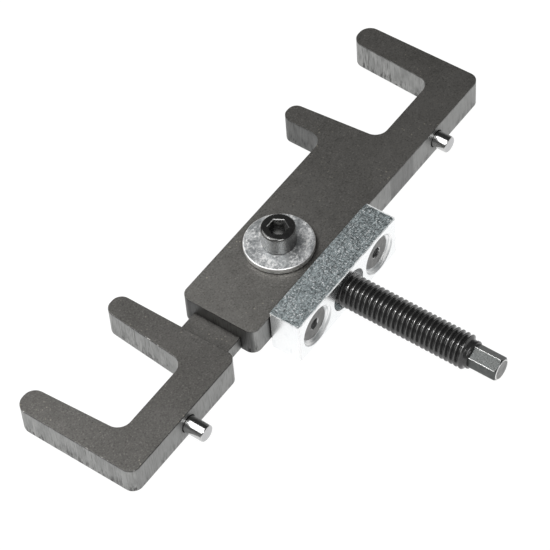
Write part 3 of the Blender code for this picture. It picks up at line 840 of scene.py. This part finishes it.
BAR_WIDTH = 40.0
PLATE_ROUND = 0.30
PIN_HOLE_DEPTH = 12.5
TONGUE_Y0, TONGUE_Y1 = 15.9, 41.1    # the sliding fork's tongue, which lies in the bar's channel
TONGUE_HEIGHT = 7.5
CHANNEL_HEIGHT = 7.7
CHANNEL_GAP = 0.2
CHANNEL_X1 = ARM.hi.x + 10.8
ARM_X1 = -62.2                       # +X side of the sliding fork, where the tongue leaves it


def cut_pin_hole(ob, x, edge_y):
    """Blind hole with a chamfered mouth in a plate's -Y edge."""
    radius = FIXED_PIN.size.x / 2 + 0.15
    mouth = radius + 0.35
    depth = PIN_HOLE_DEPTH
    hole = turned([(0, -0.1), (radius, -0.1), (radius, depth - 0.35), (mouth, depth),
                   (mouth, depth + 5), (0, depth + 5)], 64)
    boolean(ob, along_y(hole, x, edge_y + depth, (PLATE_Z0 + PLATE_Z1) / 2))


def build_bar():
    x0, x1 = BAR.lo.x, BAR.hi.x
    y0, y1, tip_y = BAR.lo.y, BAR.lo.y + BAR_WIDTH, BAR.hi.y
    # x, y, corner radius
    outline = [
        (x0, y0, 4.5), (x1, y0, 5.0),
        (x1 - 0.2, tip_y, 6.0), (x1 - 12.7, tip_y, 5.6),
        (x1 - 15.1, tip_y - 46.1, 6.5), (x1 - 56.8, tip_y - 46.1, 6.5),
        (x1 - 60.8, tip_y, 4.6), (x1 - 70.8, tip_y, 4.6),
        (x1 - 70.8, y1, 7.0), (x0, y1, 4.5)]
    bar = to_object(prism(fillet(outline), PLATE_Z0, PLATE_Z1), "bar_and_fixed_fork")
    low, high = TONGUE_Y0 - CHANNEL_GAP, TONGUE_Y1 + CHANNEL_GAP
    channel = [(x0 - 10, low, 0), (CHANNEL_X1, low, 5.0),
               (CHANNEL_X1, high, 5.0), (x0 - 10, high, 0)]
    boolean(bar, prism(fillet(channel), PLATE_Z0 - 5, PLATE_Z0 + CHANNEL_HEIGHT))
    # slot for the clamp screw
    boolean(bar, at_clamp(prism(obround(length=31.6, height=11.0), PLATE_Z0 + 2, PLATE_Z1 + 5)))
    for screw in (SCREW_LEFT, SCREW_RIGHT):
        hole = turned([(0, 0), (2.0, 0.4), (4.15, 1.4), (4.15, 30), (0, 30)], 48)
        boolean(bar, along_y(hole, screw.mid.x, y0 + 6.2))
    round_edges(bar, PLATE_ROUND)
    cut_pin_hole(bar, FIXED_PIN.mid.x, y0)
    # painted shade on the bar's end face and on the cut edge of the third finger
    steel = plate_steel("bar_plate_steel", level=1.02, painted_falloff_level=0.82, seed=0.0,
                        painted_shade_stretches=[(-60.0, -48.3, 0.30), (58.0, 75.0, 0.46)])
    stands_for(bar, "main_bar", "bar", steel)


def build_sliding_fork():
    x0, x1 = ARM.lo.x, ARM_X1
    y0, tip_y = ARM.lo.y, ARM.hi.y
    # x, y, corner radius
    outline = [
        (x0, y0, 5.0), (x1, y0, 4.5),
        (x1 - 0.4, tip_y, 5.0), (x1 - 11.3, tip_y, 5.0),
        (x1 - 15.2, y0 + 17.5, 6.5), (x0 + 15.2, y0 + 17.5, 6.5),
        (x0 + 12.4, tip_y, 5.6), (x0, tip_y, 6.0)]
    arm = to_object(prism(fillet(outline), PLATE_Z0, PLATE_Z1), "sliding_fork")
    tongue = [(x1 - 8, TONGUE_Y0, 0), (ARM.hi.x, TONGUE_Y0, 4.0),
              (ARM.hi.x, TONGUE_Y1, 4.0), (x1 - 8, TONGUE_Y1, 0)]
    boolean(arm, prism(fillet(tongue), PLATE_Z0, PLATE_Z0 + TONGUE_HEIGHT), "UNION")
    # hole for the clamp screw, wider at both mouths: (radius, z)
    hole = turned([(0, -6), (6.2, -6), (6.2, 0), (5.15, 1.0), (5.15, 6.5), (5.6, 7.0),
                   (5.6, 12), (0, 12)], 64)
    boolean(arm, at_clamp(hole, PLATE_Z0))
    round_edges(arm, PLATE_ROUND)
    cut_pin_hole(arm, SLIDING_PIN.mid.x, y0)
    steel = plate_steel("arm_plate_steel", level=0.70, painted_falloff_level=1.0, seed=31.0,
                        painted_shade_stretches=[])
    stands_for(arm, "sliding_fork_arm", "sliding_fork", steel)


# ---------------------------------------------------------------- dowel pins

def build_dowel(box, name, node, body, finish):
    radius, length = box.size.x / 2, box.size.y
    profile = [(0, 0)]
    profile += arc(radius - 0.5, 0.5, 0.5, -90, 0, 5)
    profile += arc(radius - 0.6, length - 0.6, 0.6, 0, 70, 6)
    profile += [(radius - 0.9, length), (0, length)]
    dowel = to_object(along_y(turned(profile), box.mid.x, box.hi.y, box.mid.z), name)
    stands_for(dowel, node, body, finish)


# ---------------------------------------------------------------- washer and cap screw

def build_washer():
    outer, thick = WASHER.size.x / 2, WASHER.size.z
    bore = 5.5
    profile = [(bore, 0.3), (bore + 0.3, 0.0)]
    profile += arc(outer - 0.35, 0.35, 0.35, -90, 0, 4)
    profile += arc(outer - 0.55, thick - 0.55, 0.55, 0, 90, 10)
    profile += [(bore + 0.6, thick), (bore, thick - 0.6)]
    washer = to_object(at_clamp(turned(profile, 128), WASHER.lo.z), "clamp_washer_disc")
    stands_for(washer, "clamp_washer", "washer", zinc_washer_finish())


def build_cap_screw():
    head, height = CAP.size.x / 2, CAP_HEAD_HEIGHT
    shank = CAP_HEAD_Z - CAP.lo.z
    shank_radius, crest, root = 5.0, 4.95, 4.3
    profile = [(0, -shank), (4.0, -shank), (shank_radius, -shank + 1.0)]
    profile += grooves(-shank + 1.0, stop=-3.0, pitch=1.5, crest=crest, root=root,
                       rises=(0.15, 0.65, 0.85, 1.35))
    profile += [(crest, -1.2), (shank_radius, 0.0), (head - 0.5, 0.0)]
    profile += arc(head - 0.35, 0.35, 0.35, -90, 0, 4)
    profile += arc(head - 1.1, height - 1.1, 1.1, 0, 62, 8)
    profile += [(head - 1.35, height - 0.02), (head - 1.5, height), (0, height)]
    cap = to_object(at_clamp(turned(profile, 128), CAP_HEAD_Z), "clamp_cap_screw")

    socket = 8.0    # across flats
    drill = socket / 2 - 0.25
    cutters = [
        prism(hexagon(socket), height - CAP_SOCKET_DEPTH, height + 3),
        turned([(0, height - 6.6), (drill, height - 4.8), (drill, height - 3.6),
                (0, height - 3.6)], 64),
        prism(hexagon(socket - 0.2), height - 0.5, height + 0.5, top=hexagon(socket + 1.8))]
    for cutter in cutters:
        boolean(cap, at_clamp(cutter, CAP_HEAD_Z))
    smooth_below(cap.data, 30)
    stands_for(cap, "clamp_screw", "clamp_bolt", cap_screw_finish())


# ---------------------------------------------------------------- block and its screws

def build_block():
    outline = rect(BLOCK.lo.x, BLOCK.hi.x, BLOCK.lo.y, BLOCK.hi.y, 1.1)
    block = to_object(prism(outline, BLOCK.lo.z, BLOCK.hi.z), "spindle_block_body")
    depth = BLOCK.size.y
    # pocket for the nut, open towards +Y, then the opening through to -Y
    pocket = prism(rect(-15.5, 15.5, -10.0, 10.0, 3.0), -6.0, depth - 5.5)
    boolean(block, along_y(pocket, 0, BLOCK.hi.y))
    opening = prism(obround(length=22.4, height=17.6), -2, depth + 4)
    boolean(block, along_y(opening, 0, BLOCK.hi.y))
    hole, sink = 4.5, 10.4    # radii of a screw hole and of its countersink
    for screw in (SCREW_LEFT, SCREW_RIGHT):
        cutter = turned([(0, -4), (hole, -4), (hole, depth - (sink - hole)), (sink, depth),
                         (sink, depth + 3), (0, depth + 3)])
        boolean(block, along_y(cutter, screw.mid.x, BLOCK.hi.y))
    round_edges(block, 0.4)
    stands_for(block, "spindle_block", "bar", zinc_block_finish())


def build_countersunk(box, name, node, turn, finish):
    head, length = box.size.x / 2, box.size.y
    shank = 4.0
    crest = shank - 0.05
    profile = [(0, -length), (shank - 0.8, -length), (shank - 0.02, -length + 0.8)]
    profile += grooves(-length + 1.0, stop=-7.5, pitch=1.25, crest=crest, root=shank - 0.6,
                       rises=(0.12, 0.52, 0.70, 1.12))
    profile += [(crest, -6.0), (shank, -(head - shank) - 0.4), (head - 0.05, -0.42),
                (head, -0.3), (head - 0.04, -0.1), (head - 0.2, 0), (0, 0)]
    place = (box.mid.x, box.lo.y)
    screw = to_object(along_y(turned(profile), *place), name)

    socket = 5.0    # across flats
    lead = socket / math.sqrt(3) + 0.1
    boolean(screw, along_y(prism(hexagon(socket), -3.2, 3.0), *place, turn=turn))
    boolean(screw, along_y(turned([(0, -4.2), (2.3, -3.1), (2.3, -2.4), (0, -2.4)], 48), *place))
    boolean(screw, along_y(turned([(0, -0.6), (lead - 0.5, -0.5), (lead, 0.0), (lead, 2),
                                   (0, 2)], 64), *place))
    smooth_below(screw.data, 30)
    stands_for(screw, node, "bar", finish)


# ---------------------------------------------------------------- spindle, nut and pressure tip

PITCH = 2.5
CREST = 8.0
ROOT = 6.5
TURN_STEPS = 72
THREAD_START = 0.9       # along the spindle from its +Y end
THREAD_END = -72.7       # y
BORE = 2.65
BORE_DEPTH = 5.6
HEX_END = SPINDLE.size.y    # along the spindle from its +Y end

# One pitch of thread: share of the pitch, radius.
THREAD = [
    (0.0, ROOT), (0.06, ROOT + 0.02), (0.12, ROOT + 0.12),
    (0.24, ROOT + 0.60), (0.36, ROOT + 1.16),
    (0.425, CREST - 0.06), (0.455, CREST), (0.475, CREST),
    (0.565, CREST), (0.585, CREST), (0.615, CREST - 0.06),
    (0.68, ROOT + 1.16), (0.80, ROOT + 0.60), (0.92, ROOT + 0.12), (0.97, ROOT + 0.02)]


def helix_lines(bm, steps, thread_end):
    """Rows of vertices across the thread, one per step; the last turn has only its root line."""
    lines = []
    for u in range(steps + TURN_STEPS + 1):
        angle = HEX_TURN + 2 * math.pi * u / TURN_STEPS
        row = []
        for share, radius in (THREAD if u <= steps else THREAD[:1]):
            z = THREAD_START + PITCH * (u / TURN_STEPS + share)
            # the thread runs out into the root at both ends
            fade_end = ROOT - 0.1 + max(0.0, (thread_end - 0.1) - z) * 2.4
            fade_start = ROOT - 0.05 + max(0.0, z - 0.8) * 0.9
            r = min(radius, fade_end, fade_start)
            row.append(bm.verts.new((r * math.cos(angle), r * math.sin(angle), z)))
        lines.append(row)
    return lines


def spindle_mesh():
    """Bored and threaded rod along +Z from 0, closed where the hexagon begins."""
    n = TURN_STEPS
    bm = bmesh.new()
    face = bm.faces.new
    thread_end = SPINDLE.hi.y - THREAD_END
    hex_start = SPINDLE.hi.y - HEX_START

    def rings(stations):
        """Joined rings at (radius, z)."""
        return join([ring(bm, r, z, n, HEX_TURN) for r, z in stations])

    def join(made):
        for a, b in zip(made, made[1:]):
            for i in range(n):
                j = (i + 1) % n
                face((a[i], a[j], b[j], b[i]))
        return made

    # bore and the end face round it
    centre = bm.verts.new((0, 0, BORE_DEPTH + 1.2))
    inside = rings([(BORE, BORE_DEPTH), (BORE, 0.4), (BORE + 0.35, 0.0), (ROOT - 1.0, 0.0),
                    (ROOT - 0.1, 0.7)])
    for i in range(n):
        face((centre, inside[0][(i + 1) % n], inside[0][i]))
    start = inside[-1]

    # thread, each turn joined to the next one's root line
    room = (thread_end - 0.25 - THREAD_START - PITCH) / PITCH
    turns = int(room)
    steps = turns * n + int((room - turns) * n)
    lines = helix_lines(bm, steps, thread_end)
    for u in range(steps):
        near = lines[u] + lines[u + n][:1]
        far = lines[u + 1] + lines[u + n + 1][:1]
        for p in range(len(THREAD)):
            face((near[p], far[p], far[p + 1], near[p + 1]))

    # both ends of the thread closed onto rings
    for i in range(n):
        face((start[i], start[(i + 1) % n], lines[i + 1][0], lines[i][0]))
    seam = lines[0] + [lines[n][0]]
    for a, b in zip(seam, seam[1:]):
        face((start[0], a, b))
    first = steps % n
    end = ring(bm, ROOT - 0.3, thread_end, n, HEX_TURN)
    top = [lines[steps + i][0] for i in range(n + 1)]
    for i in range(n):
        face((top[i], top[i + 1], end[(first + i + 1) % n], end[(first + i) % n]))
    seam = lines[steps] + [top[n]]
    for a, b in zip(seam, seam[1:]):
        face((end[first], b, a))

    # plain neck
    neck = rings([(ROOT + 0.1, thread_end + 0.15), (ROOT + 0.1, hex_start - 0.4),
                  (ROOT - 0.02, hex_start - 0.1), (ROOT - 0.3, hex_start)])
    join([end, neck[0]])
    last = neck[-1]
    cap_centre = bm.verts.new((0, 0, hex_start))
    for i in range(n):
        face((cap_centre, last[i], last[(i + 1) % n]))
    bmesh.ops.remove_doubles(bm, verts=bm.verts, dist=1e-4)
    bmesh.ops.recalc_face_normals(bm, faces=bm.faces)
    return bm


def build_spindle():
    finish = thread_finish()
    rod = to_object(along_y(spindle_mesh(), 0, SPINDLE.hi.y), "spindle_rod", smooth=38)
    stands_for(rod, "spindle", "spindle", finish, flat=False)


def build_hexagon():
    start, end = SPINDLE.hi.y - HEX_START, HEX_END
    body = prism(hexagon(HEX_ACROSS_FLATS, HEX_TURN), start - 0.6, end)
    drive = to_object(along_y(body, 0, SPINDLE.hi.y), "spindle_hexagon")
    # a cone trims the corners at the free end
    trim = turned([(0, start - 3), (8.0, start - 3), (8.0, end - 2.88), (4.75, end - 0.02),
                   (4.75, end + 1), (0, end + 1)])
    boolean(drive, along_y(trim, 0, SPINDLE.hi.y), "INTERSECT")
    round_edges(drive, 0.14, segments=2, angle=20.0)
    stands_for(drive, "spindle", "spindle", hexagon_finish())


def build_nut():
    length, thick, height = NUT.size
    body = prism(rect(-length / 2, length / 2, -height / 2, height / 2, 2.6), 0, thick)
    nut = to_object(along_y(body, 0, NUT.hi.y), "captive_nut")
    bore, mouth = 8.2, 9.1
    hole = turned([(0, -2), (mouth, -2), (mouth, 0), (bore, 0.8), (bore, thick - 0.8),
                   (mouth, thick), (mouth, thick + 2), (0, thick + 2)])
    boolean(nut, along_y(hole, 0, NUT.hi.y))
    round_edges(nut, 0.35)
    stands_for(nut, "spindle_nut", "nut", nut_finish())


def build_tip(finish):
    radius, length = TIP.size.x / 2, TIP.size.y
    button = 2.4    # length of the wide part; a narrow stem makes up the rest
    profile = [(0, 0.25), (1.2, 0.2), (3.5, 0.0)]
    profile += arc(radius - 0.45, 0.45, 0.45, -90, 0, 5)
    profile += arc(radius - 0.3, button - 0.3, 0.3, 0, 90, 4)
    profile += [(2.7, button), (2.5, button + 0.2)]
    profile += arc(2.1, length - 0.4, 0.4, 0, 90, 4) + [(0, length)]
    tip = to_object(along_y(turned(profile, 80), 0, TIP.hi.y), "pressure_tip_button")
    stands_for(tip, "spindle_pressure_tip", "pressure_tip", finish)


build_bar()
build_sliding_fork()
pin_steel = ground_pin_finish()
build_dowel(FIXED_PIN, "fixed_fork_dowel", "fixed_fork_pin", "bar", pin_steel)
build_dowel(SLIDING_PIN, "sliding_fork_dowel", "sliding_fork_pin", "sliding_fork", pin_steel)
build_washer()
build_cap_screw()
build_block()
screw_steel = block_screw_finish()
build_countersunk(SCREW_LEFT, "countersunk_screw_left", "block_screw_left", 0.25, screw_steel)
build_countersunk(SCREW_RIGHT, "countersunk_screw_right", "block_screw_right", 0.9, screw_steel)
build_spindle()
build_hexagon()
build_nut()
build_tip(pin_steel)

# ---------------------------------------------------------------- stage, light and camera

scene = bpy.context.scene
scene.view_settings.view_transform = "Standard"
scene.view_settings.look = "None"


def floor_paper():
    """Nearly white glowing paper, clear from below."""
    mat = Material("floor_paper")
    mat.tree.nodes.remove(mat.bsdf)
    diffuse = mat.new("ShaderNodeBsdfDiffuse", {"Color": (0.10, 0.10, 0.10, 1)})
    glow = mat.new("ShaderNodeEmission", {"Color": (1, 1, 1, 1), "Strength": 0.965})
    paper = mat.new("ShaderNodeAddShader", {0: diffuse.outputs[0], 1: glow.outputs[0]})
    clear = mat.new("ShaderNodeBsdfTransparent")
    below = mat.new("ShaderNodeNewGeometry").outputs["Backfacing"]
    sheet = mat.new("ShaderNodeMixShader",
                    {0: below, 1: paper.outputs[0], 2: clear.outputs[0]})
    mat.feed(mat.output.inputs["Surface"], sheet.outputs[0])
    return mat.material


def build_floor():
    half = 4.0    # metres
    mesh = bpy.data.meshes.new("floor")
    corners = [(-half, -half, 0), (half, -half, 0), (half, half, 0), (-half, half, 0)]
    mesh.from_pydata(corners, [], [(0, 1, 2, 3)])
    floor = bpy.data.objects.new("floor", mesh)
    floor.location.z = -0.0006
    scene.collection.objects.link(floor)
    mesh.materials.append(floor_paper())


def panel(graph, direction, centre, across, half_u, half_v, soft, level):
    """A far softbox: level inside a rectangle about a direction, fading over its rim."""
    centre = Vector(centre).normalized()
    u = (Vector(across) - centre * centre.dot(Vector(across))).normalized()
    v = centre.cross(u)
    ahead = graph.most(graph.dot(direction, tuple(centre)), 0.001)    # never divides by zero

    def inside(axis, half):
        offset = graph.calc("DIVIDE", graph.dot(direction, tuple(axis)), ahead)
        return graph.remap(graph.size(offset), span=(half - soft, half + soft), to=(1.0, 0.0))

    # shuts out the opposite half of the world
    front = graph.calc("GREATER_THAN", graph.dot(direction, tuple(centre)), 0.05)
    return graph.times(inside(u, half_u), inside(v, half_v), front, level)


def build_world():
    world = bpy.data.worlds.new("studio")
    scene.world = world
    world.use_nodes = True
    graph = Graph(world.node_tree)
    direction = graph.new("ShaderNodeTexCoord").outputs["Generated"]
    # paler at the horizon than overhead
    light = graph.remap(graph.dot(direction, (0, 0, 1)), span=(0.02, 0.45), to=(0.42, 0.045))
    light = graph.calc("ADD", light, panel(
        graph, direction, centre=(-0.42, -0.50, 0.76), across=(0.77, -0.64, 0.0),
        half_u=0.20, half_v=0.22, soft=0.08, level=8.0))
    light = graph.calc("ADD", light, panel(
        graph, direction, centre=(-0.28, 0.36, 0.89), across=(1, 0, 0),
        half_u=0.045, half_v=0.045, soft=0.015, level=55.0))
    # the camera itself sees plain white
    seen = graph.new("ShaderNodeLightPath").outputs["Is Camera Ray"]
    light = graph.calc("ADD", graph.times(light, graph.invert(seen)), graph.scale(seen, by=1.05))
    background = world.node_tree.nodes["Background"]
    graph.feed(background.inputs["Strength"], light)
    background.inputs["Color"].default_value = (1.0, 1.0, 1.0, 1)


def build_softbox():
    """A near rectangular softbox facing the origin: it makes the plates paler towards it."""
    centre = Vector((-0.36, 0.395, 0.71))
    across = Vector((0.919, 0.0, 0.394))
    width, height = 1.066, 0.76
    radiance = 2.9
    radiance_per_watt = 0.3686    # of one watt spread over a square metre
    z = centre.normalized()
    x = (across - z * z.dot(across)).normalized()
    y = z.cross(x)
    data = bpy.data.lights.new("softbox_key", "AREA")
    data.shape = "RECTANGLE"
    data.size = width
    data.size_y = height
    data.energy = radiance * width * height / radiance_per_watt
    lamp = bpy.data.objects.new("softbox_key", data)
    turn = Matrix((x, y, z)).transposed().to_4x4()
    lamp.matrix_world = Matrix.Translation(centre) @ turn
    lamp.visible_camera = False
    scene.collection.objects.link(lamp)


def build_camera():
    """A long lens looking down at the puller from its -X, -Y side."""
    target = Vector((-34.2, 8.2, 5.2)) * MM
    distance = 1104.2142857
    rise = 25.8428571    # shift of the camera along its own up direction
    azimuth, elevation, roll = (math.radians(a) for a in (-50.44, 51.37, -4.94))
    back = Vector((math.sin(azimuth) * math.cos(elevation),
                   -math.cos(azimuth) * math.cos(elevation), math.sin(elevation)))
    level_right = Vector((math.cos(azimuth), math.sin(azimuth), 0))
    level_up = back.cross(level_right)
    right = level_right * math.cos(roll) + level_up * math.sin(roll)
    up = -level_right * math.sin(roll) + level_up * math.cos(roll)
    data = bpy.data.cameras.new("camera")
    data.sensor_width = 36.0
    data.lens = 163.7299636
    data.clip_start = 0.05
    data.clip_end = 20
    camera = bpy.data.objects.new("camera", data)
    turn = Matrix((right, up, back)).transposed().to_4x4()
    camera.matrix_world = Matrix.Translation((back * distance + up * rise) * MM + target) @ turn
    scene.collection.objects.link(camera)
    scene.camera = camera


build_floor()
build_world()
build_softbox()
build_camera()
